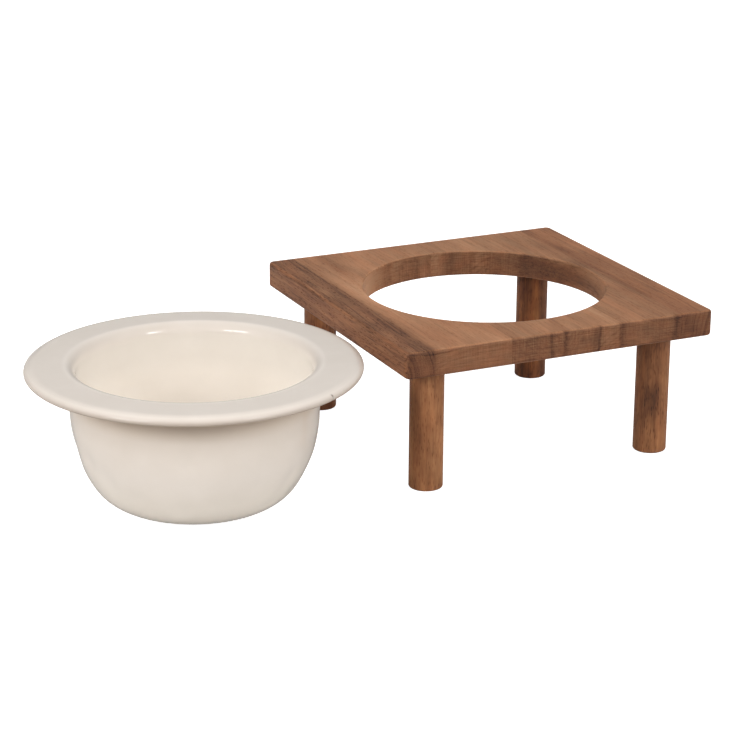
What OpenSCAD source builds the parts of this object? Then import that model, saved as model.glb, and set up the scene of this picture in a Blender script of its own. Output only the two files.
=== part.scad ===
// Chip and dip server: a square, edge-glued wooden stand on four round legs, with a round
// seat hole through its top, and a wide-rimmed glazed bowl that drops into the hole.
// At rest the bowl stands on the table beside the stand.
// The origin is on the table under the middle of the whole set; +X runs across the staves
// to the right, +Y runs along them to the back, +Z is up.

/* [Board] */
// Side of the square board
board_side = 254; // [240:1:300]
// Thickness of the board
board_t = 20; // [16:0.2:26]
// Radius of the board's upright corners
corner_r = 4.5; // [3:0.5:8]
// Rounding along the board's top and bottom edges
edge_r = 2.25; // [1:0.25:2.75]
// Rounding of the seat hole's two rims
hole_edge_r = 1.5; // [0.5:0.25:3]

/* [Staves] */
// Strip of the left inner stave that runs past the seat hole, unbroken
left_strip_w = 12.3; // [8:0.1:16]
// Strip of the right inner stave that runs past the seat hole, unbroken
right_strip_w = 5.6; // [4:0.1:16]
// How far the middle seam lies to the right of the board's centre line
middle_seam_shift = 1; // [-10:0.5:10]
// Width of the middle stave to the left of that seam
left_middle_w = 44; // [30:0.5:60]
// Width of the middle stave to the right of that seam
right_middle_w = 47; // [30:0.5:60]

/* [Legs] */
// Diameter of a leg
leg_d = 25.4; // [20:0.2:30]
// Length of a leg, from the table to the board
leg_h = 96; // [80:0.1:140]
// Distance from a leg's axis to the two nearest sides of the board
leg_inset = 31.5; // [20:0.5:34]
// Rounding round the foot of a leg
foot_edge_r = 1.5; // [0.5:0.25:4]

/* [Dowel pins] */
// Diameter of the pin that joins a leg to the board
pin_d = 10; // [6:0.5:14]
// Depth of the pin in the leg
pin_in_leg = 20; // [10:0.5:35]
// Depth of the pin in the board
pin_in_board = 12; // [8:0.5:14]
// Chamfer at the pin's two ends
pin_chamfer = 1; // [0.5:0.25:2]
// Number of glue flutes round a pin
pin_flutes = 10; // [6:1:16]
// Depth of a glue flute
flute_depth = 0.4; // [0.2:0.05:0.8]
// Glue line round a pin
glue_gap = 0.05; // [0.03:0.01:0.15]
// Room for glue past each end of a pin
end_gap = 0.5; // [0.2:0.1:0.8]

/* [Bowl] */
// Height of the bowl, from the table to the top of its rim
bowl_h = 105; // [95:0.1:125]
// Outer diameter of the wall, where it meets the rim
neck_d = 181.4; // [170:0.1:186]
// Thickness of the wall and the floor
wall_t = 4.5; // [3.5:0.1:7]
// Draft of the upper wall, in degrees from upright
wall_draft = 1.75; // [0.5:0.25:4]
// Radius of the lower wall's long curve
belly_r = 92.5; // [85:0.5:110]
// Radius of the tight curve into the base
knuckle_r = 33.5; // [28:0.5:40]
// Steepness, in degrees under level, at which the two curves meet
knuckle_angle = 33.5; // [28:0.25:38]
// Width of the foot ring that the bowl stands on
foot_ring_w = 9; // [5:0.5:16]
// Depth of the hollow inside the foot ring
foot_hollow = 0.8; // [0.4:0.1:1.5]

/* [Rim] */
// Diameter over the rim
rim_d = 242.2; // [220:0.2:260]
// Thickness of the rim
rim_t = 3.5; // [2.5:0.1:5]
// Slope of the rim, in degrees down towards its edge
rim_slope = 5.25; // [2:0.25:12]
// Radius of the roll at the rim's outer edge
roll_r = 10; // [8:0.5:20]
// Steepness of the rim's outer edge, in degrees
roll_angle = 24; // [16:1:40]
// Radius of the crown between the rim and the inner wall
crown_r = 4.5; // [3.5:0.25:7]
// Radius of the fillet under the rim
fillet_r = 5; // [2:0.5:9]

/* [Set] */
// Clearance all round between the bowl's wall and the seat hole
seat_clear = 2.6; // [0.5:0.1:5]
// Gap between the standing bowl's rim and the left side of the board
stand_off = 8.5; // [2:0.5:60]
// How far the bowl stands in front of the board's centre line
bowl_forward = 46.5; // [0:0.5:110]

/* [Hidden] */
$fn = 96;

walnut = [0.45, 0.27, 0.17];
tan_wood = [0.58, 0.37, 0.24];
leg_wood = [0.47, 0.29, 0.19];
beech = [0.80, 0.66, 0.47];
cream = [0.90, 0.87, 0.80];

over = 1;            // how far a cutter runs past the face it cuts
arc_steps = 12;      // straight stretches that stand for a short arc of an outline
half_side = board_side / 2;
hole_r = neck_d / 2 + seat_clear;
rim_r = rim_d / 2;

// The set's own box is centred on the origin, across X and along Y
stand_x = rim_r + stand_off / 2;
bowl_x = -(board_side + stand_off) / 2;
set_front = min(-half_side, -bowl_forward - rim_r);
set_back = max(half_side, rim_r - bowl_forward);
stand_y = -(set_front + set_back) / 2;
bowl_y = stand_y - bowl_forward;

// Seams between the staves, across the board from its centre line
left_seam = -hole_r - left_strip_w;
right_seam = hole_r + right_strip_w;
middle_seam = middle_seam_shift;
left_middle_seam = middle_seam - left_middle_w;
right_middle_seam = middle_seam + right_middle_w;

// Points of an arc round centre c, from angle a0 to angle a1
function arc(c, r, a0, a1, steps = arc_steps) =
    [for (i = [0:steps]) c + r * direction(a0 + (a1 - a0) * i / steps)];
function direction(a) = [cos(a), sin(a)];

// ---------------------------------------------------------------- Board

module rounded_rectangle(w, h, r) {
    for (x = [-1, 1], y = [-1, 1])
        translate([x * (w / 2 - r), y * (h / 2 - r)]) circle(r);
    square([w - 2 * r, h], center = true);
    square([w, h - 2 * r], center = true);
}

// The blank is rounded along all twelve edges: two prisms cross between its corner posts
module board_blank() {
    straight = board_side - 2 * corner_r;
    translate([0, 0, leg_h + board_t / 2]) {
        for (x = [-1, 1], y = [-1, 1])
            translate([x * straight / 2, y * straight / 2, 0]) corner_post();
        rotate([90, 0, 0]) linear_extrude(straight, center = true)
            rounded_rectangle(board_side, board_t, edge_r);
        rotate([90, 0, 90]) linear_extrude(straight, center = true)
            rounded_rectangle(board_side, board_t, edge_r);
    }
}

// A round post as thick as the board, rounded at both ends as the board's edges are
module corner_post() {
    rotate_extrude() intersection() {
        rounded_rectangle(2 * corner_r, board_t, edge_r);
        translate([0, -board_t / 2]) square([corner_r, board_t]);
    }
}

// The seat hole, with its rims rounded above and below
module seat_hole() {
    translate([0, 0, leg_h - over]) cylinder(h = board_t + 2 * over, r = hole_r);
    translate([0, 0, leg_h + board_t - hole_edge_r]) hole_rim();
    translate([0, 0, leg_h + hole_edge_r]) mirror([0, 0, 1]) hole_rim();
}

// What is cut away above the middle of a rim's rounding
module hole_rim() {
    rotate_extrude() difference() {
        translate([hole_r - over, 0]) square([over + hole_edge_r, hole_edge_r + over]);
        translate([hole_r + hole_edge_r, 0]) circle(hole_edge_r);
    }
}

module at_leg(side_x, side_y) {
    translate([side_x * (half_side - leg_inset), side_y * (half_side - leg_inset), 0]) children();
}

// The hole for a pin, in the leg below and the board above
module pin_hole() {
    translate([0, 0, leg_h - pin_in_leg - end_gap])
        cylinder(h = pin_in_leg + pin_in_board + 2 * end_gap, d = pin_d + 2 * glue_gap);
}

// The drilled board between two planes across it
module stave(from_x, to_x, from_y = -half_side, to_y = half_side) {
    translate([stand_x, stand_y, 0]) difference() {
        intersection() {
            board_blank();
            translate([from_x, from_y, leg_h]) cube([to_x - from_x, to_y - from_y, board_t]);
        }
        seat_hole();
        for (x = [-1, 1], y = [-1, 1]) at_leg(x, y) pin_hole();
    }
}

module left_stave() {
    color(walnut) stave(-half_side, left_seam);
}

module left_inner_stave() {
    color(tan_wood) stave(left_seam, left_middle_seam);
}

module front_left_middle_stave() {
    color(leg_wood) stave(left_middle_seam, middle_seam, to_y = 0);
}

module back_left_middle_stave() {
    color(leg_wood) stave(left_middle_seam, middle_seam, from_y = 0);
}

module front_right_middle_stave() {
    color(tan_wood) stave(middle_seam, right_middle_seam, to_y = 0);
}

module back_right_middle_stave() {
    color(tan_wood) stave(middle_seam, right_middle_seam, from_y = 0);
}

module right_inner_stave() {
    color(leg_wood) stave(right_middle_seam, right_seam);
}

module right_stave() {
    color(tan_wood) stave(right_seam, half_side);
}

// ---------------------------------------------------------------- Legs and pins

// A turned leg with a rounded foot, drilled for its pin
module leg(side_x, side_y) {
    leg_r = leg_d / 2;
    foot = arc([leg_r - foot_edge_r, foot_edge_r], foot_edge_r, -90, 0);
    translate([stand_x, stand_y, 0]) at_leg(side_x, side_y) difference() {
        rotate_extrude() polygon(concat([[0, 0]], foot, [[leg_r, leg_h], [0, leg_h]]));
        pin_hole();
    }
}

module front_left_leg() {
    color(leg_wood) leg(-1, -1);
}

module front_right_leg() {
    color(leg_wood) leg(1, -1);
}

module back_left_leg() {
    color(leg_wood) leg(-1, 1);
}

module back_right_leg() {
    color(leg_wood) leg(1, 1);
}

// A fluted dowel pin, glued half in the leg and half in the board
module pin(side_x, side_y) {
    pin_r = pin_d / 2;
    pin_l = pin_in_leg + pin_in_board;
    translate([stand_x, stand_y, leg_h - pin_in_leg]) at_leg(side_x, side_y) difference() {
        rotate_extrude() polygon([
            [0, 0], [pin_r - pin_chamfer, 0], [pin_r, pin_chamfer],
            [pin_r, pin_l - pin_chamfer], [pin_r - pin_chamfer, pin_l], [0, pin_l]
        ]);
        for (i = [0:pin_flutes - 1])
            rotate([0, 0, (i + 0.5) * 360 / pin_flutes]) translate([pin_r, 0, -over])
                cylinder(h = pin_l + 2 * over, r = flute_depth, $fn = 16);
    }
}

module front_left_pin() {
    color(beech) pin(-1, -1);
}

module front_right_pin() {
    color(beech) pin(1, -1);
}

module back_left_pin() {
    color(beech) pin(-1, 1);
}

module back_right_pin() {
    color(beech) pin(1, 1);
}

// ---------------------------------------------------------------- Bowl

// The wall runs down from the neck: a drafted straight, the belly's long curve and the
// knuckle's tight one, each tangent to the next, to the flat base. The inner wall is the
// same curves, one wall thickness in, round the same centres.
neck = [neck_d / 2, bowl_h];
belly_low = knuckle_r - (knuckle_r - belly_r) * sin(knuckle_angle) - belly_r * sin(wall_draft);
base_r = neck.x - (bowl_h - belly_low) * tan(wall_draft)
    - (knuckle_r - belly_r) * cos(knuckle_angle) - belly_r * cos(wall_draft);
knuckle_c = [base_r, knuckle_r];
belly_c = knuckle_c + (knuckle_r - belly_r) * direction(-knuckle_angle);

// The crown touches the inner wall, and its top is the bowl's highest ring
crown_c = [
    neck.x - wall_t / cos(wall_draft) + crown_r * (1 / cos(wall_draft) - tan(wall_draft)),
    bowl_h - crown_r
];

// The rim slopes down from the crown at rim_up's right angle, and rolls over at its edge
rim_up = direction(90 - rim_slope);
crown_out = crown_c + crown_r * rim_up;
roll_x = rim_r - rim_t / 2 - (roll_r - rim_t / 2) * sin(roll_angle);
roll_start_x = roll_x + roll_r * sin(rim_slope);
roll_c = [
    roll_x,
    crown_out.y - (roll_start_x - crown_out.x) * tan(rim_slope) - roll_r * cos(rim_slope)
];
lip_c = roll_c + (roll_r - rim_t / 2) * direction(90 - roll_angle);

// The fillet under the rim touches the rim's underside and the outer wall
wall_out = direction(-wall_draft);
rim_reach = rim_up * crown_out - rim_t - fillet_r;
wall_reach = wall_out * neck + fillet_r;
fillet_c = [
    rim_reach * sin(wall_draft) + wall_reach * cos(rim_slope),
    rim_reach * cos(wall_draft) - wall_reach * sin(rim_slope)
] / cos(rim_slope - wall_draft);

// Half of the bowl's section, round from the floor, over the rim, to the foot
bowl_section = concat(
    [[0, wall_t]],
    arc(knuckle_c, knuckle_r - wall_t, -90, -knuckle_angle),
    arc(belly_c, belly_r - wall_t, -knuckle_angle, -wall_draft),
    arc(crown_c, crown_r, 180 - wall_draft, 90 - rim_slope),
    arc(roll_c, roll_r, 90 - rim_slope, 90 - roll_angle),
    arc(lip_c, rim_t / 2, 90 - roll_angle, -90 - roll_angle),
    arc(roll_c, roll_r - rim_t, 90 - roll_angle, 90 - rim_slope),
    arc(fillet_c, fillet_r, 90 - rim_slope, 180 - wall_draft),
    arc(belly_c, belly_r, -wall_draft, -knuckle_angle),
    arc(knuckle_c, knuckle_r, -knuckle_angle, -90),
    [
        [base_r - foot_ring_w, 0],
        [base_r - foot_ring_w - foot_hollow, foot_hollow],
        [0, foot_hollow]
    ]
);

module bowl() {
    color(cream) translate([bowl_x, bowl_y, 0]) rotate_extrude($fn = 144) polygon(bowl_section);
}

left_stave();
left_inner_stave();
front_left_middle_stave();
back_left_middle_stave();
front_right_middle_stave();
back_right_middle_stave();
right_inner_stave();
right_stave();
front_left_leg();
front_right_leg();
back_left_leg();
back_right_leg();
front_left_pin();
front_right_pin();
back_left_pin();
back_right_pin();
bowl();
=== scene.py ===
"""The look of a chip and dip server: a walnut-brown stand of edge-glued staves on four round
legs, and a wide-rimmed bowl with a cream glaze, which stands beside it and drops into its hole."""
import math

import bpy
import numpy as np
from mathutils import Matrix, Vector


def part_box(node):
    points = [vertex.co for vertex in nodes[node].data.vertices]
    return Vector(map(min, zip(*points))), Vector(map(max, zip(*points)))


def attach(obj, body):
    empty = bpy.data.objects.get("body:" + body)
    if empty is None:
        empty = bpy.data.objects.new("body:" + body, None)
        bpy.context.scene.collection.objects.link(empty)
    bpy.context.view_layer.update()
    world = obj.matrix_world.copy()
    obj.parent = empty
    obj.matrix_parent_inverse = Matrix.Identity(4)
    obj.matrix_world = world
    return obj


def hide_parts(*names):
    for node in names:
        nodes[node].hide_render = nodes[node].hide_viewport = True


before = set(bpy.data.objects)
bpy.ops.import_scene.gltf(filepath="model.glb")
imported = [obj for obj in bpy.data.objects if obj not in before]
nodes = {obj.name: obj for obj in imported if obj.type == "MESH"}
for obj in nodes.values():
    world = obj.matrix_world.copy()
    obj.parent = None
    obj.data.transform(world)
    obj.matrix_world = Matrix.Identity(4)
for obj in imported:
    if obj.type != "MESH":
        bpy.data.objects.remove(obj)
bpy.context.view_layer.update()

# ---------------------------------------------------------------- Board
# Six staves of one brown hardwood, edge-glued, sawn round for the seat hole, which cuts the two
# middle ones in two, then rounded along their edges, sanded and oiled. The grain runs from
# front to back, so the front, the back and much of the hole's wall are end grain.

mm = 0.001
metres_to_mm = (1000, 1000, 1000)
board_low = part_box("left_stave")[0]
board_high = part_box("right_stave")[1]

# The wood's colours from its darkest to its palest tone, and what its cooler parts, its redder
# parts and its oiled end grain are multiplied by
wood_colours = [
    (0.0, (0.0384, 0.0144, 0.0073)),
    (0.25, (0.143, 0.0551, 0.0233)),
    (0.5, (0.273, 0.123, 0.0586)),
    (0.75, (0.419, 0.203, 0.104)),
    (1.0, (0.554, 0.305, 0.174)),
]
cool_wood = (0.96, 1.01, 1.01)
red_wood = (1.06, 0.955, 0.87)
soaked_wood = (0.54, 0.474, 0.42, 1)

# How the fibres run: by how many mm they wander, slowly and quickly, how many times longer a
# knot's pull is along them than its size, by how many years good and bad weather shifts the
# growth lines, and how much of the streaks' contrast is lost on end grain
slow_wander = 10
quick_wander = 2.4
knot_pull = 2.2
year_shift = 5.0
end_grain_fade = 0.75

# How deep the wood's blush changes, how far each feature stands proud of the sanded face,
# both in mm, and how dull that face is
blush_depth = 20
pore_height = -0.05
late_height = -0.006
fibre_height = 0.02
saw_height = 0.03
sanded_rough = 0.45


def add_node(tree, kind, inputs=None, **settings):
    """A shader node with its settings; each input is linked to a socket or set to a value."""
    made = tree.nodes.new("ShaderNode" + kind)
    for name, value in settings.items():
        setattr(made, name, value)
    for name, value in (inputs or {}).items():
        if isinstance(value, bpy.types.NodeSocket):
            tree.links.new(value, made.inputs[name])
        else:
            made.inputs[name].default_value = value
    return made


def calc(tree, operation, *values):
    """The result of one sum on sockets or numbers, such as ADD, MULTIPLY or POWER."""
    return add_node(tree, "Math", dict(enumerate(values)), operation=operation).outputs[0]


def mix(tree, share, first, second, blend_type="MIX"):
    """The first colour, turned by a share of 0 to 1 into the second or multiplied by it."""
    return add_node(tree, "Mix", {
        "Factor": share, "A": first, "B": second},
        data_type="RGBA", blend_type=blend_type).outputs["Result"]


def ramp(tree, value, stops, smooth=True):
    """A curve through stops of (place, tone or colour), read at the value."""
    made = add_node(tree, "ValToRGB", {0: value})
    made.color_ramp.interpolation = "B_SPLINE" if smooth else "LINEAR"
    marks = made.color_ramp.elements
    while len(marks) < len(stops):
        marks.new(0.5)
    for mark, (place, tone) in zip(marks, stops):
        mark.position = place
        mark.color = (*tone, 1) if isinstance(tone, tuple) else (tone, tone, tone, 1)
    return made.outputs[0]


def noise(tree, place, scale, detail, shift=(0, 0, 0)):
    """A noise texture, read at the place scaled along each axis and then shifted."""
    sized = add_node(tree, "Mapping", {0: place, "Scale": scale, "Location": shift}).outputs[0]
    return add_node(tree, "TexNoise", {"Vector": sized, "Scale": 1.0, "Detail": detail}).outputs


def noise_at_distance(tree, distance, detail):
    """Noise from 0 to 1 that changes with one distance alone."""
    return add_node(tree, "TexNoise", {
        "W": distance, "Scale": 1.0, "Detail": detail}, noise_dimensions="1D").outputs[0]


def stretched_noise(tree, place, across, along, detail=2.0, offset=0.0):
    """Cloudy noise from 0 to 1 with features that size in mm across and along the grain."""
    return noise(tree, place, (1 / across, 1 / across, 1 / along), detail, (offset,) * 3)[0]


def bell(tree, place, centre, size):
    """A soft spot with half-widths in mm: one at its centre, falling away as e to the power of
    minus half the square of the distance, which is counted in half-widths."""
    scaled = add_node(tree, "Mapping", {
        0: place, "Scale": tuple(1 / s for s in size),
        "Location": tuple(-c / s for c, s in zip(centre, size))})
    away = add_node(tree, "VectorMath", {0: scaled.outputs[0]}, operation="LENGTH").outputs["Value"]
    return calc(tree, "EXPONENT", calc(tree, "MULTIPLY", calc(tree, "MULTIPLY", away, away), -0.5))


def wood(name, origin, turn, pith, bands, lean=0.0, seed=0.0, knots=(), swirl=(), spots=(),
         walls=(), spacing=2.6, years=0.08, lines=0.08, streaks=0.32, fibre=0.24, mottle=0.0,
         saw=0.35, pores=0.14, blush=(0.0, 0.0), hue=(1.0, 1.0, 1.0)):
    """A piece of brown wood, measured in mm from its origin, with its grain along the third
    axis after the turn. Its tone, from 0 for the darkest to 1 for the palest, starts with bands
    across the piece, as (place, tone), which lean through its depth. Added to them are spots,
    as (centre, half-widths, change), and walls, which are spots on its upright faces alone;
    growth lines, which are rings round the pith at a spacing in mm and as dark as years says;
    streaks, fibre and dark lines along the grain; mottle, a cloudy figure; pores, which are
    short dark dashes; and the marks of the saw on end grain. Knots and swirl push the rings
    aside, as (centre, size), and knots are dark. Blush is how red the wood is at the top and
    20 mm down, hue tints the whole piece, and the seed tells one piece from the next."""
    made = bpy.data.materials.new(name)
    made.use_nodes = True
    tree = made.node_tree
    tree.nodes.clear()
    texture = add_node(tree, "TexCoord")
    place = add_node(tree, "Mapping", {
        0: texture.outputs["Object"], "Scale": metres_to_mm, "Rotation": turn,
        "Location": origin}).outputs[0]

    # The fibres wander by some mm: the place is pushed aside by slow and by quick noise
    slow = noise(tree, place, (0.02, 0.02, 0.006), 1.0, (seed, 0, 0))["Color"]
    quick = noise(tree, place, (0.16, 0.16, 0.014), 2.0, (0, seed, 0))["Color"]
    pushed = place
    for drift, reach in ((slow, slow_wander), (quick, quick_wander)):
        centred = add_node(tree, "VectorMath", {0: drift, 1: (-0.5,) * 3}, operation="ADD")
        pushed = add_node(tree, "VectorMath", {
            0: centred.outputs[0], 1: (reach, reach, 0), 2: pushed},
            operation="MULTIPLY_ADD").outputs[0]

    # Knots push the rings round themselves and are dark in the middle
    knot_push = 0.0
    for centre, size in (*knots, *swirl):
        fall = bell(tree, place, centre, (size, size, knot_pull * size))
        knot_push = calc(tree, "MULTIPLY_ADD", fall, knot_pull * size, knot_push)
    knot_tone = 0.0
    for centre, size in knots:
        core = bell(tree, place, centre, (0.4 * size, 0.4 * size, 0.9 * size))
        knot_tone = calc(tree, "MULTIPLY_ADD", core, 0.5, knot_tone)

    # Growth lines are counted outwards from the pith, wide in some stretches, narrow in others.
    # Each is darkest in its late wood, and some years are stronger than others
    from_pith = add_node(tree, "VectorMath", {
        0: pushed, 1: (-pith[0], -pith[1], 0)}, operation="ADD").outputs[0]
    flat = add_node(tree, "VectorMath", {0: from_pith, 1: (1, 1, 0)}, operation="MULTIPLY").outputs[0]
    radius = add_node(tree, "VectorMath", {0: flat}, operation="LENGTH").outputs["Value"]
    radius = calc(tree, "ADD", radius, knot_push)
    weather = noise_at_distance(tree, calc(tree, "MULTIPLY_ADD", radius, 0.11, seed), 2.0)
    season = calc(tree, "FRACT", calc(
        tree, "MULTIPLY_ADD", weather, year_shift, calc(tree, "DIVIDE", radius, spacing)))
    late = ramp(tree, season, [(0.0, 0.35), (0.12, 0.0), (0.55, 0.25), (0.86, 1.0), (1.0, 0.4)])
    strength = noise_at_distance(tree, calc(tree, "MULTIPLY_ADD", radius, 0.35, seed + 7), 1.0)
    late = calc(tree, "MULTIPLY", late, calc(tree, "MULTIPLY_ADD", strength, 2.6, -0.8))

    # End grain is where the face looks along the grain
    grain = add_node(tree, "VectorRotate", {
        "Vector": texture.outputs["Normal"], "Rotation": turn}, rotation_type="EULER_XYZ").outputs[0]
    normal = add_node(tree, "SeparateXYZ", {0: grain})
    facing = calc(tree, "ABSOLUTE", normal.outputs[2])
    end = add_node(tree, "MapRange", {
        "Value": facing, "From Min": 0.45, "From Max": 0.95}, interpolation_type="SMOOTHSTEP").outputs[0]
    along_grain = calc(tree, "MULTIPLY_ADD", end, -end_grain_fade, 1.0)

    # Broad bands of tone, leaning through the depth, and soft spots on them
    parts = add_node(tree, "SeparateXYZ", {0: pushed})
    across = calc(tree, "MULTIPLY_ADD", parts.outputs[1], lean, parts.outputs[0])
    first = bands[0][0]
    width = bands[-1][0] - first
    share = calc(tree, "DIVIDE", calc(tree, "SUBTRACT", across, first), width)
    tone = ramp(tree, share, [((x - first) / width, shade) for x, shade in bands])
    for centre, size, change in spots:
        tone = calc(tree, "MULTIPLY_ADD", bell(tree, pushed, centre, size), change, tone)
    upright = calc(tree, "SUBTRACT", 1.0, calc(tree, "ABSOLUTE", normal.outputs[1]))
    for centre, size, change in walls:
        spot = calc(tree, "MULTIPLY", bell(tree, pushed, centre, size), upright)
        tone = calc(tree, "MULTIPLY_ADD", spot, change, tone)

    # Streaks and thin dark lines run along the fibres, and fade where the fibres end
    streak = stretched_noise(tree, pushed, 2.6, 110.0, 3.0, seed)
    fine = stretched_noise(tree, pushed, 0.6, 22.0, 2.0, seed + 3)
    thin = stretched_noise(tree, pushed, 1.3, 75.0, 2.0, seed + 11)
    thin = ramp(tree, thin, [(0.50, 0.0), (0.60, 0.8), (0.68, 1.0)], smooth=False)
    patchy = ramp(tree, stretched_noise(tree, pushed, 6.0, 60.0, 2.0, seed + 13), [
        (0.40, 0.15), (0.58, 1.0)], smooth=False)
    fibres = calc(tree, "MULTIPLY", calc(tree, "SUBTRACT", streak, 0.5), streaks)
    fibres = calc(tree, "MULTIPLY_ADD", calc(tree, "SUBTRACT", fine, 0.5), fibre, fibres)
    fibres = calc(tree, "MULTIPLY_ADD", calc(tree, "MULTIPLY", thin, patchy), -lines, fibres)
    tone = calc(tree, "MULTIPLY_ADD", fibres, along_grain, tone)
    tone = calc(tree, "MULTIPLY_ADD", late, calc(tree, "MULTIPLY_ADD", end, -1.2 * years, -years), tone)

    # Cloudy figure, broad and then small, and pores: cells drawn out along the grain, dark in
    # the middle
    cloud = calc(tree, "SUBTRACT", stretched_noise(tree, place, 12.0, 40.0, 3.0, seed + 5), 0.5)
    tone = calc(tree, "MULTIPLY_ADD", cloud, calc(tree, "MULTIPLY", along_grain, 0.40), tone)
    blotch = calc(tree, "SUBTRACT", stretched_noise(tree, place, 4.5, 13.0, 4.0, seed + 9), 0.5)
    tone = calc(tree, "MULTIPLY_ADD", blotch, mottle, tone)
    cells = add_node(tree, "Mapping", {
        0: place, "Scale": (0.95, 0.95, 0.13), "Location": (seed, seed, seed)}).outputs[0]
    pore = add_node(tree, "TexVoronoi", {"Vector": cells, "Scale": 1.0}).outputs["Distance"]
    pore = ramp(tree, pore, [(0.0, 1.0), (0.16, 0.8), (0.30, 0.0), (1.0, 0.0)], smooth=False)
    tone = calc(tree, "MULTIPLY_ADD", pore, -pores, tone)

    # On end grain the saw leaves fine level lines, crossed by faint upright ones
    level_lines = noise(tree, place, (0.05, 1.3, 0.3), 3.0, (seed, 0, 0))[0]
    upright_lines = noise(tree, place, (0.9, 0.07, 0.3), 3.0, (seed, 0, 0))[0]
    drag = calc(tree, "SUBTRACT", calc(tree, "MULTIPLY_ADD", upright_lines, 0.6, level_lines), 0.8)
    drag = calc(tree, "MULTIPLY", drag, end)
    tone = calc(tree, "MULTIPLY_ADD", drag, saw, tone)
    tone = calc(tree, "SUBTRACT", tone, knot_tone)
    colour = ramp(tree, tone, wood_colours, smooth=False)

    # Parts of the tree redden more than others, and end grain soaks up oil and darkens
    warm = stretched_noise(tree, place, 9.0, 60.0, 2.0, seed + 17)
    warm = calc(tree, "MULTIPLY_ADD", calc(tree, "SUBTRACT", warm, 0.5), 2.0, 0.5 + 0.5 * blush[0])
    warm = calc(tree, "MULTIPLY_ADD", parts.outputs[1], 0.5 / blush_depth * (blush[1] - blush[0]), warm)
    cool_tint = tuple(a * b for a, b in zip(hue, cool_wood))
    warm_tint = tuple(a * b for a, b in zip(hue, red_wood))
    tint = ramp(tree, warm, [(0.0, cool_tint), (1.0, warm_tint)], smooth=False)
    colour = mix(tree, 1.0, colour, tint, "MULTIPLY")
    colour = mix(tree, end, colour, soaked_wood, "MULTIPLY")

    # Pores and late wood lie a little lower than the sanded face, and pores and end grain are
    # duller than it
    height = calc(tree, "MULTIPLY_ADD", pore, pore_height, calc(tree, "MULTIPLY", late, late_height))
    height = calc(tree, "MULTIPLY_ADD", fine, fibre_height, height)
    height = calc(tree, "MULTIPLY_ADD", drag, saw_height, height)
    bump = add_node(tree, "Bump", {"Strength": 0.5, "Distance": mm, "Height": height}).outputs[0]
    rough = calc(tree, "MULTIPLY_ADD", pore, 0.2, calc(tree, "MULTIPLY_ADD", fine, 0.14, sanded_rough))
    rough = calc(tree, "MULTIPLY_ADD", end, 0.14, rough)
    surface = add_node(tree, "BsdfPrincipled", {
        "Base Color": colour, "Roughness": rough, "Normal": bump, "IOR": 1.42})
    tree.links.new(surface.outputs[0], add_node(tree, "OutputMaterial").inputs[0])
    return made


def dress(name, finish):
    """Gives a carried-over piece its finish in each of its material slots."""
    for place in nodes[name].material_slots:
        place.material = finish


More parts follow.
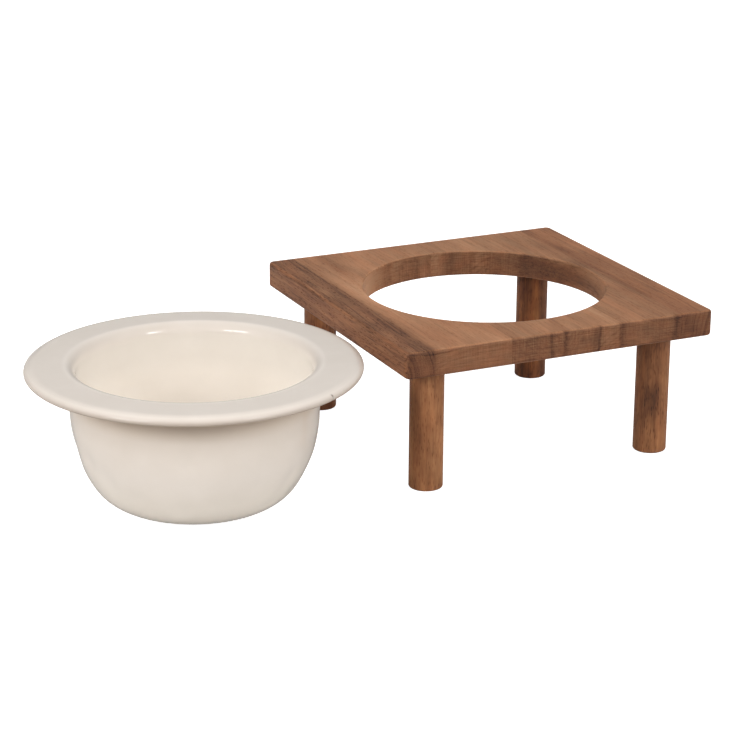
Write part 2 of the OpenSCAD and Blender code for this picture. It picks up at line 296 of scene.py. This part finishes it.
# Places on a stave are in mm: from the board's left edge, down from its top, and back from
# its front edge
board_origin = (-board_low.x / mm, board_high.z / mm, -board_low.y / mm)
grain_to_back = (math.pi / 2, 0, 0)
staves = {
    "outer_left": dict(
        nodes=["left_stave"], pith=(-24, 20), seed=1.3, lean=0.15, lines=0.20, years=0.17,
        spacing=3.6, streaks=0.30, fibre=0.60, pores=0.34, blush=(0.1, 1.5),
        bands=[(-2, 0.47), (2, 0.47), (4, 0.41), (6, 0.45), (9, 0.48), (12, 0.44), (15, 0.41),
               (18, 0.42), (21, 0.44), (24, 0.46)],
        spots=[((3, 0, 200), (6, 30, 60), 0.04), ((20, 0, 240), (7, 9, 44), 0.10),
               ((22, 0, 12), (6, 9, 50), -0.08)],
        # The first of the walls below darkens the whole left face of the board with painted shade
        walls=[((-1, 10, 127), (2, 30, 200), -0.07), ((-1, 8, 100), (2, 5, 60), 0.07),
               ((-1, 10, 86), (2, 30, 28), 0.06), ((16, 10, 0), (6, 30, 3), 0.20)]),
    "inner_left": dict(
        nodes=["left_inner_stave"], pith=(66, 150), seed=4.1, saw=0.60, blush=(0.1, 0.4),
        knots=[((37, -1, 229), 1.8)],
        bands=[(18, 0.44), (22, 0.50), (30, 0.66), (38, 0.70), (46, 0.70), (56, 0.71),
               (66, 0.74), (86, 0.72)],
        spots=[((44.5, 0, 238), (4, 8, 26), -0.15), ((36, 0, 230), (14, 9, 24), -0.02),
               # The first spot below, at 34 mm across, is painted light on the hole's left wall
               ((34, 10, 127), (9, 12, 46), 0.28), ((20, 10, 0), (1.4, 30, 2), -0.12),
               ((45, 10, 0), (26, 30, 2), 0.06), ((24, 0, 240), (3, 8, 40), 0.08)],
        # The first wall below is painted light on the hole's wall towards its back left
        walls=[((62, 10, 193), (17, 30, 20), 0.36), ((25, 10, 0), (5, 30, 3), 0.10)]),
    "middle_left": dict(
        nodes=["front_left_middle_stave", "back_left_middle_stave"], pith=(40, 70), seed=7.7,
        lean=0.3, saw=0.95, blush=(-0.1, 0.3),
        bands=[(80, 0.66), (88, 0.63), (96, 0.66), (104, 0.62), (112, 0.63), (120, 0.70),
               (130, 0.68)],
        spots=[((82, 4, 0), (3, 7, 2), -0.16), ((116, 10, 0), (1.2, 30, 2), -0.24),
               ((126.5, 10, 0), (1, 30, 2), -0.28), ((105, 10, 0), (22, 30, 2), -0.02)],
        walls=[((88, 10, 213), (6, 30, 9), 0.22), ((104, 10, 218), (6, 30, 9), 0.06),
               ((114, 10, 218), (1.5, 30, 9), -0.10), ((121, 10, 220), (2.5, 30, 9), 0.12),
               ((110, 10, 220), (16, 30, 9), 0.06)]),
    "middle_right": dict(
        nodes=["front_right_middle_stave", "back_right_middle_stave"], pith=(205, 60), seed=9.2,
        lean=-0.2, saw=0.85, blush=(-0.1, 0.3),
        bands=[(126, 0.60), (130, 0.65), (136, 0.67), (144, 0.66), (152, 0.65), (160, 0.73),
               (168, 0.76), (178, 0.70)],
        spots=[((129, 10, 0), (1.2, 30, 2), -0.20), ((154, 10, 0), (2.4, 30, 2), -0.14),
               ((157, 10, 0), (0.8, 30, 2), -0.28), ((174.4, 10, 0), (0.9, 30, 2), -0.28)],
        walls=[((130, 10, 220), (5, 30, 9), 0.28), ((158, 10, 216), (16, 30, 9), -0.04),
               ((144, 10, 219), (3, 30, 9), -0.12), ((175, 10, 209), (5, 30, 9), -0.18)]),
    "inner_right": dict(
        nodes=["right_inner_stave"], pith=(150, 110), seed=12.6, lean=-0.1, lines=0.10, saw=0.70,
        blush=(-0.2, 0.4),
        bands=[(172, 0.62), (178, 0.65), (188, 0.69), (196, 0.67), (206, 0.61), (214, 0.63),
               (222, 0.58), (228, 0.53)],
        spots=[((175.8, 10, 0), (1.2, 30, 2), -0.16), ((222.5, 10, 0), (2.2, 30, 2), -0.22),
               # The last spot below, at 222 mm across, is painted shade on the hole's right wall
               ((205, 10, 0), (22, 30, 2), -0.02), ((222, 13, 140), (9, 8, 40), -0.24)],
        # The first wall below is painted shade on the hole's wall towards its back right
        walls=[((204, 10, 181), (17, 30, 26), -0.36), ((198, 10, 188), (3, 30, 9), -0.08)]),
    "outer_right": dict(
        nodes=["right_stave"], pith=(290, 26), seed=15.8, lean=-0.5, lines=0.14, years=0.12,
        saw=0.60, blush=(0.8, 1.0),
        bands=[(223, 0.49), (231, 0.46), (240, 0.60), (247, 0.59), (256, 0.56)],
        spots=[((242, 0, 240), (9, 8, 30), 0.06)]),
}

# A thin line of painted shade runs along the top of the board's front face, under its rounded edge
front_edge_shade = ((127, 1.3, 0), (400, 0.4, 1.5), -0.20)
for stave, facts in staves.items():
    stave_nodes = facts.pop("nodes")
    facts["walls"] = [*facts.get("walls", ()), front_edge_shade]
    finish = wood("wood_" + stave, board_origin, grain_to_back, **facts)
    for name in stave_nodes:
        dress(name, finish)

# ---------------------------------------------------------------- Legs
# Four turned lengths of the same wood, each with a rounded foot. They are glued to the board
# on hidden dowel pins, their grain upright.

# Places on a leg are in mm: right and back from its axis, and up from the table. The back
# right leg is of redder wood than the others
upright_grain = (0, 0, 0)
leg_hue = (0.98, 0.865, 0.69)
legs = {
    # On the front legs, the long dark spots on the left of their fronts, at -10.5, -11 and -5 mm, are
    # painted shade, and the light one at 11 mm on the front right leg's right side is painted light
    "front_left_leg": dict(pith=(-26, 14), seed=21.4, tone=0.61, hue=leg_hue, spots=[
        ((-10.5, -6.5, 40), (4, 4, 60), -0.18), ((-4, -12, 96), (9, 5, 9), -0.04)]),
    "front_right_leg": dict(
        pith=(30, 22), seed=26.9, tone=0.485, hue=leg_hue, swirl=[((-8, -10, 57), 5.0)], spots=[
            ((-11, -6, 60), (5, 6, 50), -0.16), ((-5, -12, 55), (5, 5, 34), -0.12),
            ((11, -4, 50), (4, 8, 60), 0.12), ((-6, -11, 58), (3, 3, 4), 0.07),
            ((-6, -11, 45), (4.5, 4.5, 8), -0.15), ((-4, -12, 8), (9, 8, 12), 0.08)]),
    "back_left_leg": dict(pith=(22, -30), seed=31.7, tone=0.36, hue=leg_hue),
    "back_right_leg": dict(
        pith=(-34, -18), seed=37.2, tone=0.35, hue=(0.97, 0.75, 0.47), spots=[
            ((-9, -9, 80), (4, 4, 8), -0.14), ((-2, -12, 60), (1.6, 2, 40), 0.16),
            ((0, -12, 4), (12, 9, 12), -0.10)]),
}
for name, facts in legs.items():
    low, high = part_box(name)
    axis = (low + high) / 2
    tone = facts.pop("tone")
    leg_bands = [(-14, tone), (-6, tone + 0.03), (1, tone - 0.02), (7, tone + 0.03), (14, tone)]
    dress(name, wood(
        "wood_" + name, (-axis.x / mm, -axis.y / mm, 0), upright_grain, bands=leg_bands,
        lean=0.4, spacing=3.4, years=0.06, lines=0.06, fibre=0.40, pores=0.26, mottle=0.46,
        blush=(-0.2, -0.2), **facts))

# ---------------------------------------------------------------- Dowel pins
# Fluted beech pins, bought in. One is glued half into the top of each leg and half into the
# board above it, out of sight.

beech = bpy.data.materials.new("beech")
beech.use_nodes = True
tree = beech.node_tree
place = add_node(tree, "Mapping", {
    0: add_node(tree, "TexCoord").outputs["Object"], "Scale": metres_to_mm}).outputs[0]
fleck = stretched_noise(tree, place, 0.7, 9.0, 3.0)
beech_colour = ramp(tree, fleck, [
    (0.3, (0.50, 0.33, 0.19)), (0.5, (0.62, 0.44, 0.27)), (0.7, (0.70, 0.53, 0.35))])
surface = tree.nodes["Principled BSDF"]
tree.links.new(beech_colour, surface.inputs["Base Color"])
tree.links.new(calc(tree, "MULTIPLY_ADD", fleck, 0.2, 0.5), surface.inputs["Roughness"])
for name in nodes:
    if name.endswith("_pin"):
        dress(name, beech)

# ---------------------------------------------------------------- Bowl
# A thrown stoneware bowl with a wide, gently falling rim, dipped in a glossy cream glaze. It
# stands on a bare foot ring, and fingers have left faint dimples on its lower wall.

bowl_low, bowl_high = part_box("bowl")
bowl_x = (bowl_low.x + bowl_high.x) / 2
bowl_y = (bowl_low.y + bowl_high.y) / 2
bowl_h = bowl_high.z
rim_r = (bowl_high.x - bowl_low.x) / 2

# Wall and base: the outer radius under the rim, the wall's thickness and its fall inwards in
# degrees, then the long curve, and the tight one that takes it round to the base
neck_r = 90.7 * mm
wall_t = 6.0 * mm
wall_draft = 1.75
belly_r = 92.5 * mm
knuckle_r = 33.5 * mm
knuckle_angle = 33.5
foot_ring_w = 9 * mm
foot_hollow = 0.8 * mm

# Rim: its thickness and fall in degrees, the crown over the inner edge, the lip rolled down
# over the outer one, and the fillet under the neck
rim_t = 5 * mm
rim_slope = 1
crown_r = 8 * mm
roll_r = 10 * mm
roll_angle = 40
fillet_r = 5 * mm

# Points in each ring of the bowl's surface
bowl_turns = 288


def direction(angle):
    """The point at distance one from the origin, at an angle in degrees up from level."""
    return np.array([math.cos(math.radians(angle)), math.sin(math.radians(angle))])


def arc(centre, radius, start, end, steps):
    """Points at one radius from the centre, from one angle in degrees to another."""
    turn = np.radians(np.linspace(start, end, steps))
    return centre + radius * np.column_stack((np.cos(turn), np.sin(turn)))


def line(start, end, steps):
    """Points evenly along a straight stretch, with neither of its ends."""
    return start + (np.array(end) - start) * np.linspace(0, 1, steps + 2)[1:-1, None]


def bowl_section():
    """Half of the bowl's section, as distance from the axis and height, from the middle of
    the floor, over the rim, to the middle of the base: arcs that touch, joined by straights.
    The wall falls from the neck through a long curve and a tight one to the flat base."""
    sine = math.sin(math.radians(wall_draft))
    cosine = math.cos(math.radians(wall_draft))
    step = (knuckle_r - belly_r) * direction(-knuckle_angle)
    belly_low = knuckle_r + step[1] - belly_r * sine
    base_r = neck_r - (bowl_h - belly_low) * sine / cosine - step[0] - belly_r * cosine
    ring_in = base_r - foot_ring_w
    knuckle = np.array([base_r, knuckle_r])
    belly = knuckle + step
    crown = np.array([neck_r - wall_t / cosine + crown_r * (1 - sine) / cosine, bowl_h - crown_r])

    # The rim falls from the crown's top to the rolled lip, whose end is a half circle
    rim_up = direction(90 - rim_slope)
    crown_out = crown + crown_r * rim_up
    roll_x = rim_r - rim_t / 2 - (roll_r - rim_t / 2) * math.sin(math.radians(roll_angle))
    roll_start = roll_x + roll_r * rim_up[0]
    roll = np.array([
        roll_x, crown_out[1] - (roll_start - crown_out[0]) * rim_up[0] / rim_up[1] - roll_r * rim_up[1]])
    lip = roll + (roll_r - rim_t / 2) * direction(90 - roll_angle)

    # The fillet's centre is one radius from the rim's underside and one from the wall
    wall_out = direction(-wall_draft)
    reach = np.array([
        rim_up @ crown_out - rim_t - fillet_r, wall_out @ np.array([neck_r, bowl_h]) + fillet_r])
    fillet = np.linalg.solve(np.array([rim_up, wall_out]), reach)

    # Each stretch leaves out the point that it shares with the one before it
    floor_corner = arc(knuckle, knuckle_r - wall_t, -90, -knuckle_angle, 16)
    inner_belly = arc(belly, belly_r - wall_t, -knuckle_angle, -wall_draft, 26)[1:]
    inner_top = arc(crown, crown_r, 180 - wall_draft, 90 - rim_slope, 14)
    rim_edge = arc(roll, roll_r, 90 - rim_slope, 90 - roll_angle, 7)
    lip_end = arc(lip, rim_t / 2, 90 - roll_angle, -90 - roll_angle, 13)[1:-1]
    under = arc(roll, roll_r - rim_t, 90 - roll_angle, 90 - rim_slope, 5)
    under_neck = arc(fillet, fillet_r, 90 - rim_slope, 180 - wall_draft, 9)
    outer_belly = arc(belly, belly_r, -wall_draft, -knuckle_angle, 44)
    base_corner = arc(knuckle, knuckle_r, -knuckle_angle, -90, 28)[1:]
    stretches = [
        np.array([[0, wall_t]]),
        line([0, wall_t], [base_r, wall_t], 16), floor_corner, inner_belly,
        line(inner_belly[-1], inner_top[0], 20), inner_top,
        line(inner_top[-1], rim_edge[0], 14), rim_edge, lip_end, under,
        line(under[-1], under_neck[0], 10), under_neck,
        line(under_neck[-1], outer_belly[0], 30), outer_belly, base_corner,
        line([base_r, 0], [ring_in, 0], 4),
        np.array([[ring_in, 0], [ring_in - foot_hollow, foot_hollow]]),
        line([ring_in - foot_hollow, foot_hollow], [0, foot_hollow], 8),
        np.array([[0, foot_hollow]]),
    ]
    return np.vstack(stretches), base_r


def revolve(section, turns):
    """A closed surface from a section swept round the upright axis: at each angle, a point at
    distance r and height z goes to r times the angle's cosine, r times its sine, and z. Each
    point of the section makes a row, but for the first and the last, which lie on the axis
    and close the two ends. Returns the grid of points (row, turn, axis), the two poles and
    the faces."""
    angle = np.arange(turns) * 2 * np.pi / turns
    r = section[1:-1, 0][:, None]
    z = section[1:-1, 1][:, None]
    grid = np.stack((r * np.cos(angle), r * np.sin(angle), z + 0 * angle), axis=-1)
    poles = np.array([[0, 0, section[0, 1]], [0, 0, section[-1, 1]]])
    rows = len(section) - 2
    here = np.arange(rows * turns).reshape(rows, turns)
    after = np.roll(here, -1, axis=1)
    quads = np.stack((here[:-1], after[:-1], after[1:], here[1:]), axis=-1).reshape(-1, 4)
    top_fan = np.stack((np.full(turns, rows * turns), after[0], here[0]), axis=-1)
    base_fan = np.stack((np.full(turns, rows * turns + 1), here[-1], after[-1]), axis=-1)
    return grid, poles, quads, np.vstack((top_fan, base_fan))


def mesh_piece(name, points, quads, triangles):
    """A smooth-shaded piece from arrays of points, four-sided and three-sided faces."""
    mesh = bpy.data.meshes.new(name)
    corners = np.concatenate((quads.ravel(), triangles.ravel()))
    counts = np.concatenate((np.full(len(quads), 4), np.full(len(triangles), 3)))
    mesh.vertices.add(len(points))
    mesh.vertices.foreach_set("co", points.ravel())
    mesh.loops.add(len(corners))
    mesh.loops.foreach_set("vertex_index", corners)
    mesh.polygons.add(len(counts))
    mesh.polygons.foreach_set("loop_start", np.concatenate(([0], np.cumsum(counts)[:-1])))
    mesh.polygons.foreach_set("loop_total", counts)
    mesh.update(calc_edges=True)
    mesh.validate()
    mesh.shade_smooth()
    piece = bpy.data.objects.new(name, mesh)
    bpy.context.scene.collection.objects.link(piece)
    return piece


def mark_points(piece, name, values):
    """Gives each point of a piece a number from 0 to 1 that its material can read by name."""
    mark = piece.data.attributes.new(name, "FLOAT", "POINT")
    mark.data.foreach_set("value", values.astype(np.float32))


section, base_r = bowl_section()
grid, poles, quads, triangles = revolve(section, bowl_turns)
points = np.vstack((grid.reshape(-1, 3), poles))
from_axis = np.hypot(points[:, 0], points[:, 1])

# The outer face starts at the lip, six rows above the bowl's widest one
lip_rows = 6
outer_start = int(np.argmax(section[:, 0])) - lip_rows
on_outside = np.zeros(len(points), bool)
on_outside[outer_start * bowl_turns:(len(section) - 2) * bowl_turns] = True

# How much painted shade a point takes on the crown, as a bell curve of its distance from a line in
# it, and on the rim's flat, which starts past the neck
crown_away = np.hypot(
    from_axis - (neck_r - wall_t + 0.35 * crown_r), points[:, 2] - bowl_h + 0.35 * crown_r)
crown_shade_share = np.exp(-(crown_away / (0.6 * crown_r)) ** 2)
rim_shade_share = 0.6 * np.clip((from_axis - neck_r) / (4 * mm), 0, 1)

# Dimples on the lower wall: shallow round dents, pushed in towards the axis. Each is its depth
# times e to the power of minus the square of the distance from its middle, counted in its
# size, and all of them fade out towards the foot
draw = np.random.default_rng(14)
dimples = 90
dent = np.zeros(len(points))
for _ in range(dimples):
    spin = draw.uniform(0, 2 * np.pi)
    height = draw.uniform(14, 62) * mm
    size = draw.uniform(6, 12) * mm
    depth = draw.uniform(0.20, 0.55) * mm
    at = np.array([math.cos(spin), math.sin(spin)])
    side = points[:, :2] @ np.array([-at[1], at[0]])
    ahead = points[:, :2] @ at
    away = (side / size) ** 2 + ((points[:, 2] - height) / size) ** 2
    dent += np.where(on_outside & (ahead > 0), depth * np.exp(-away), 0)
above_foot = np.clip((points[:, 2] - 4 * mm) / (10 * mm), 0, 1)
shrink = 1 - dent * above_foot / np.maximum(from_axis, 1 * mm)
points[:, :2] *= shrink[:, None]
points += np.array([bowl_x, bowl_y, 0])
bowl = mesh_piece("glazed_bowl", points, quads, triangles)
mark_points(bowl, "outside", on_outside)
# The "edge" mark carries the painted shade of the crown and the rim's flat
mark_points(bowl, "edge", np.maximum(rim_shade_share, crown_shade_share))

# The glaze's tint by height, as a share of the bowl's. Outside, it is painted light on the lower wall
# and painted shadow under the rim, brown and darkest on the neck and the lower half of the lip.
# Inside, it is painted light towards the floor and painted shade on the upper wall
outside_light_and_shade = [
    (0.0, (1.10, 1.10, 1.08)), (0.20, (1.08, 1.08, 1.06)), (0.40, (0.98, 0.97, 0.96)),
    (0.60, (0.91, 0.89, 0.87)), (0.70, (0.85, 0.82, 0.79)), (0.77, (0.75, 0.69, 0.63)),
    (0.83, (0.64, 0.55, 0.47)), (0.90, (0.60, 0.50, 0.42)), (0.932, (0.62, 0.55, 0.48)),
    (0.944, (0.68, 0.62, 0.57)), (0.956, (0.74, 0.70, 0.67)), (0.965, (0.82, 0.79, 0.77)),
    (0.974, (0.92, 0.90, 0.89)), (0.984, (1.0, 1.0, 1.0)),
]
inside_light_and_shade = [
    (0.0, (1.10, 1.10, 1.10)), (0.50, (1.10, 1.11, 1.10)), (0.64, (1.05, 1.06, 1.05)),
    (0.76, (0.96, 0.97, 0.96)), (0.90, (0.93, 0.94, 0.93)), (0.96, (0.98, 0.98, 0.98)),
]
rim_shade_tint = (0.84, 0.82, 0.80, 1)
speck_brown = (0.10, 0.05, 0.03, 1)
glaze_gloss = 0.07
clay_dullness = 0.7
bare_ring_w = 11

glaze = bpy.data.materials.new("cream_glaze")
glaze.use_nodes = True
tree = glaze.node_tree
surface = tree.nodes["Principled BSDF"]
place = add_node(tree, "Mapping", {
    0: add_node(tree, "TexCoord").outputs["Object"], "Scale": metres_to_mm,
    "Location": (-bowl_x / mm, -bowl_y / mm, 0)}).outputs[0]
parts = add_node(tree, "SeparateXYZ", {0: place})
cloud = stretched_noise(tree, place, 30.0, 30.0, 3.0, 2.0)
glaze_colour = ramp(tree, cloud, [
    (0.3, (0.805, 0.737, 0.668)), (0.7, (0.835, 0.768, 0.702))], smooth=False)
height_share = calc(tree, "DIVIDE", parts.outputs[2], bowl_h / mm)
painted_shading = mix(
    tree, add_node(tree, "Attribute", attribute_name="outside").outputs["Fac"],
    ramp(tree, height_share, inside_light_and_shade, smooth=False),
    ramp(tree, height_share, outside_light_and_shade, smooth=False))
glaze_colour = mix(tree, 1.0, glaze_colour, painted_shading, "MULTIPLY")
# Painted shade darkens the crown and the rim's flat
glaze_colour = mix(
    tree, add_node(tree, "Attribute", attribute_name="edge").outputs["Fac"],
    glaze_colour, rim_shade_tint, "MULTIPLY")

# One speck of iron came through the glaze on the lip, towards the stand
speck = bell(tree, place, (61.5, -103.2, bowl_h / mm - 2.7), (0.6, 0.6, 2))
glaze_colour = mix(tree, calc(tree, "MULTIPLY", speck, 0.75), glaze_colour, speck_brown)

# The foot ring's clay is bare up to an uneven line, a fraction of a mm above the table
from_middle = calc(tree, "SQRT", calc(
    tree, "ADD", calc(tree, "POWER", parts.outputs[0], 2.0), calc(tree, "POWER", parts.outputs[1], 2.0)))
glaze_line = calc(tree, "MULTIPLY_ADD", stretched_noise(tree, place, 5.0, 5.0, 2.0, 8.0), 0.5, 0.12)
on_ring = calc(
    tree, "MULTIPLY", calc(tree, "LESS_THAN", parts.outputs[2], glaze_line),
    calc(tree, "GREATER_THAN", from_middle, base_r / mm - bare_ring_w))
clay = ramp(tree, stretched_noise(tree, place, 0.6, 0.6, 3.0), [
    (0.3, (0.42, 0.32, 0.22)), (0.7, (0.60, 0.48, 0.35))], smooth=False)
tree.links.new(mix(tree, on_ring, glaze_colour, clay), surface.inputs["Base Color"])
rough = calc(tree, "MULTIPLY_ADD", cloud, 0.06, glaze_gloss)
rough = calc(tree, "MULTIPLY_ADD", on_ring, clay_dullness, rough)
tree.links.new(rough, surface.inputs["Roughness"])
ripple = calc(tree, "MULTIPLY", stretched_noise(tree, place, 9.0, 9.0, 2.0, 4.0), 0.05)
bump = add_node(tree, "Bump", {"Strength": 0.5, "Distance": mm, "Height": ripple}).outputs[0]
tree.links.new(bump, surface.inputs["Normal"])
surface.inputs["IOR"].default_value = 1.6
bowl.data.materials.append(glaze)
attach(bowl, "bowl")
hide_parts("bowl")

# ---------------------------------------------------------------- Floor
# A plain sheet of pale, matt card that runs out of view on every side. It is lit from within
# as well, so that it reads as white.

floor_half = 6.0
card_colour = (0.57, 0.56, 0.545, 1)
card_glow = 0.9
floor_mesh = bpy.data.meshes.new("floor")
floor_mesh.from_pydata([
    (-floor_half, -floor_half, 0), (floor_half, -floor_half, 0), (floor_half, floor_half, 0),
    (-floor_half, floor_half, 0)], [], [(0, 1, 2, 3)])
floor = bpy.data.objects.new("floor", floor_mesh)
bpy.context.scene.collection.objects.link(floor)
card = bpy.data.materials.new("pale_card")
card.use_nodes = True
tree = card.node_tree
tree.nodes.clear()
to_camera = add_node(tree, "LightPath").outputs["Is Camera Ray"]
matt = add_node(tree, "BsdfDiffuse", {"Color": card_colour})
glow = add_node(tree, "Emission", {"Strength": calc(tree, "MULTIPLY", to_camera, card_glow)})
both = add_node(tree, "AddShader", {0: matt.outputs[0], 1: glow.outputs[0]})
tree.links.new(both.outputs[0], add_node(tree, "OutputMaterial").inputs[0])
floor_mesh.materials.append(card)

# ---------------------------------------------------------------- Light
# Two soft boxes stand to the left and the right of the camera, a little above the set, and
# make the highlights. Broad, soft light from both sides, the front and overhead falls on the
# matt surfaces, and the room round the set stays dim.

# The camera's direction from the set in degrees, and the point that it and the lamps face
camera_azimuth = -25.014
camera_elevation = 18.843
aim = np.array([-0.01366, -0.06382, 0.09555])

# The soft boxes' distance in metres and their radiance, and how brightly the room glows in
# each part
box_distance = 2.2
box_radiance = 10.0
room_glow = 0.25
backdrop_glow = 0.32
side_glow = 2.6
side_falloff = -0.06
front_glow = 2.4
top_glow = 0.95


def towards(azimuth, elevation):
    """The direction at an azimuth from the front, to the right, and an elevation, in degrees."""
    level = direction(elevation)
    side = direction(azimuth - 90)
    return np.array([side[0] * level[0], side[1] * level[0], level[1]])


def point_at(obj, place, target, roll=0.0):
    """Puts a lamp or camera at a place, looking at the target, and rolls it about that line."""
    back = (place - target) / np.linalg.norm(place - target)
    right = np.cross([0, 0, 1], back)
    right /= np.linalg.norm(right)
    up = np.cross(back, right)
    cosine, sine = direction(roll)
    pose = np.eye(4)
    pose[:3, 0] = cosine * right + sine * up
    pose[:3, 1] = cosine * up - sine * right
    pose[:3, 2] = back
    pose[:3, 3] = place
    obj.matrix_world = Matrix(pose.tolist())


def soft_box(name, azimuth, elevation, width, height):
    """A flat, square-cornered lamp that faces the set; its azimuth is from the camera's."""
    lamp = bpy.data.lights.new(name, "AREA")
    lamp.shape = "RECTANGLE"
    lamp.size = width
    lamp.size_y = height
    lamp.energy = box_radiance * math.pi * width * height
    box = bpy.data.objects.new(name, lamp)
    bpy.context.scene.collection.objects.link(box)
    point_at(box, aim + box_distance * towards(camera_azimuth + azimuth, elevation), aim)


def between(tree, value, low, high, edge):
    """One between two values in degrees, falling softly to nothing within an edge past them."""
    rise = add_node(tree, "MapRange", {
        "Value": value, "From Min": math.radians(low - edge), "From Max": math.radians(low)},
        interpolation_type="SMOOTHSTEP").outputs[0]
    fall = add_node(tree, "MapRange", {
        "Value": value, "From Min": math.radians(high + edge), "From Max": math.radians(high)},
        interpolation_type="SMOOTHSTEP").outputs[0]
    return calc(tree, "MULTIPLY", rise, fall)


def share_towards(tree, heading, azimuth):
    """How far a heading goes along the level direction at an azimuth from the camera's."""
    return add_node(tree, "VectorMath", {
        0: heading, 1: tuple(towards(camera_azimuth + azimuth, 0))},
        operation="DOT_PRODUCT").outputs["Value"]


world = bpy.data.worlds.new("room")
bpy.context.scene.world = world
world.use_nodes = True
sky = world.node_tree
heading = add_node(sky, "TexCoord").outputs["Generated"]
ahead = share_towards(sky, heading, 0)
aside = share_towards(sky, heading, 90)
azimuth = calc(sky, "ABSOLUTE", calc(sky, "ARCTAN2", aside, ahead))
elevation = calc(sky, "ARCSINE", add_node(sky, "SeparateXYZ", {0: heading}).outputs[2])

# Each glow fills a window of the room: from and to, in degrees round from the camera's side
# and then upwards, and the width of its soft edge
side = calc(sky, "MULTIPLY", between(sky, azimuth, 55, 92, 22), between(sky, elevation, 16, 28, 8))
side = calc(sky, "MULTIPLY", side, calc(sky, "MULTIPLY_ADD", aside, side_falloff, 1.0))
front = calc(sky, "MULTIPLY", between(sky, azimuth, 34, 58, 14), between(sky, elevation, 20, 34, 8))
overhead = between(sky, elevation, 62, 91, 14)
behind = calc(sky, "MULTIPLY", between(sky, azimuth, 150, 181, 60), between(sky, elevation, 26, 91, 24))
room = calc(sky, "MULTIPLY_ADD", behind, backdrop_glow - room_glow, room_glow)
soft = calc(sky, "MULTIPLY_ADD", front, front_glow, calc(sky, "MULTIPLY", side, side_glow))
soft = calc(sky, "MULTIPLY_ADD", overhead, top_glow, soft)

# The soft light falls on matt surfaces alone, and the camera sees plain white
rays = add_node(sky, "LightPath").outputs
lit = calc(sky, "MULTIPLY_ADD", soft, rays["Is Diffuse Ray"], room)
shine = sky.nodes["Background"]
sky.links.new(add_node(sky, "Mix", {
    "Factor": rays["Is Camera Ray"], "A": lit, "B": 1.0},
    data_type="FLOAT").outputs["Result"], shine.inputs[1])
shine.inputs[0].default_value = (1, 1, 1, 1)

# Azimuth, elevation, width and height, in degrees and metres
soft_box("left_soft_box", -42, 25, 0.90, 0.38)
soft_box("right_soft_box", 43, 25, 0.54, 0.48)

# ---------------------------------------------------------------- Camera
# A long lens on a tripod, a little above the set and to its left. It leans by a fraction of
# a degree.

camera_distance = 1.7573
camera_roll = 0.287
lens = bpy.data.cameras.new("camera")
lens.lens = 120.03
lens.sensor_width = 36
lens.clip_end = 50
camera = bpy.data.objects.new("camera", lens)
bpy.context.scene.collection.objects.link(camera)
point_at(camera, aim + camera_distance * towards(camera_azimuth, camera_elevation), aim, camera_roll)
bpy.context.scene.camera = camera
bpy.context.scene.view_settings.view_transform = "Standard"
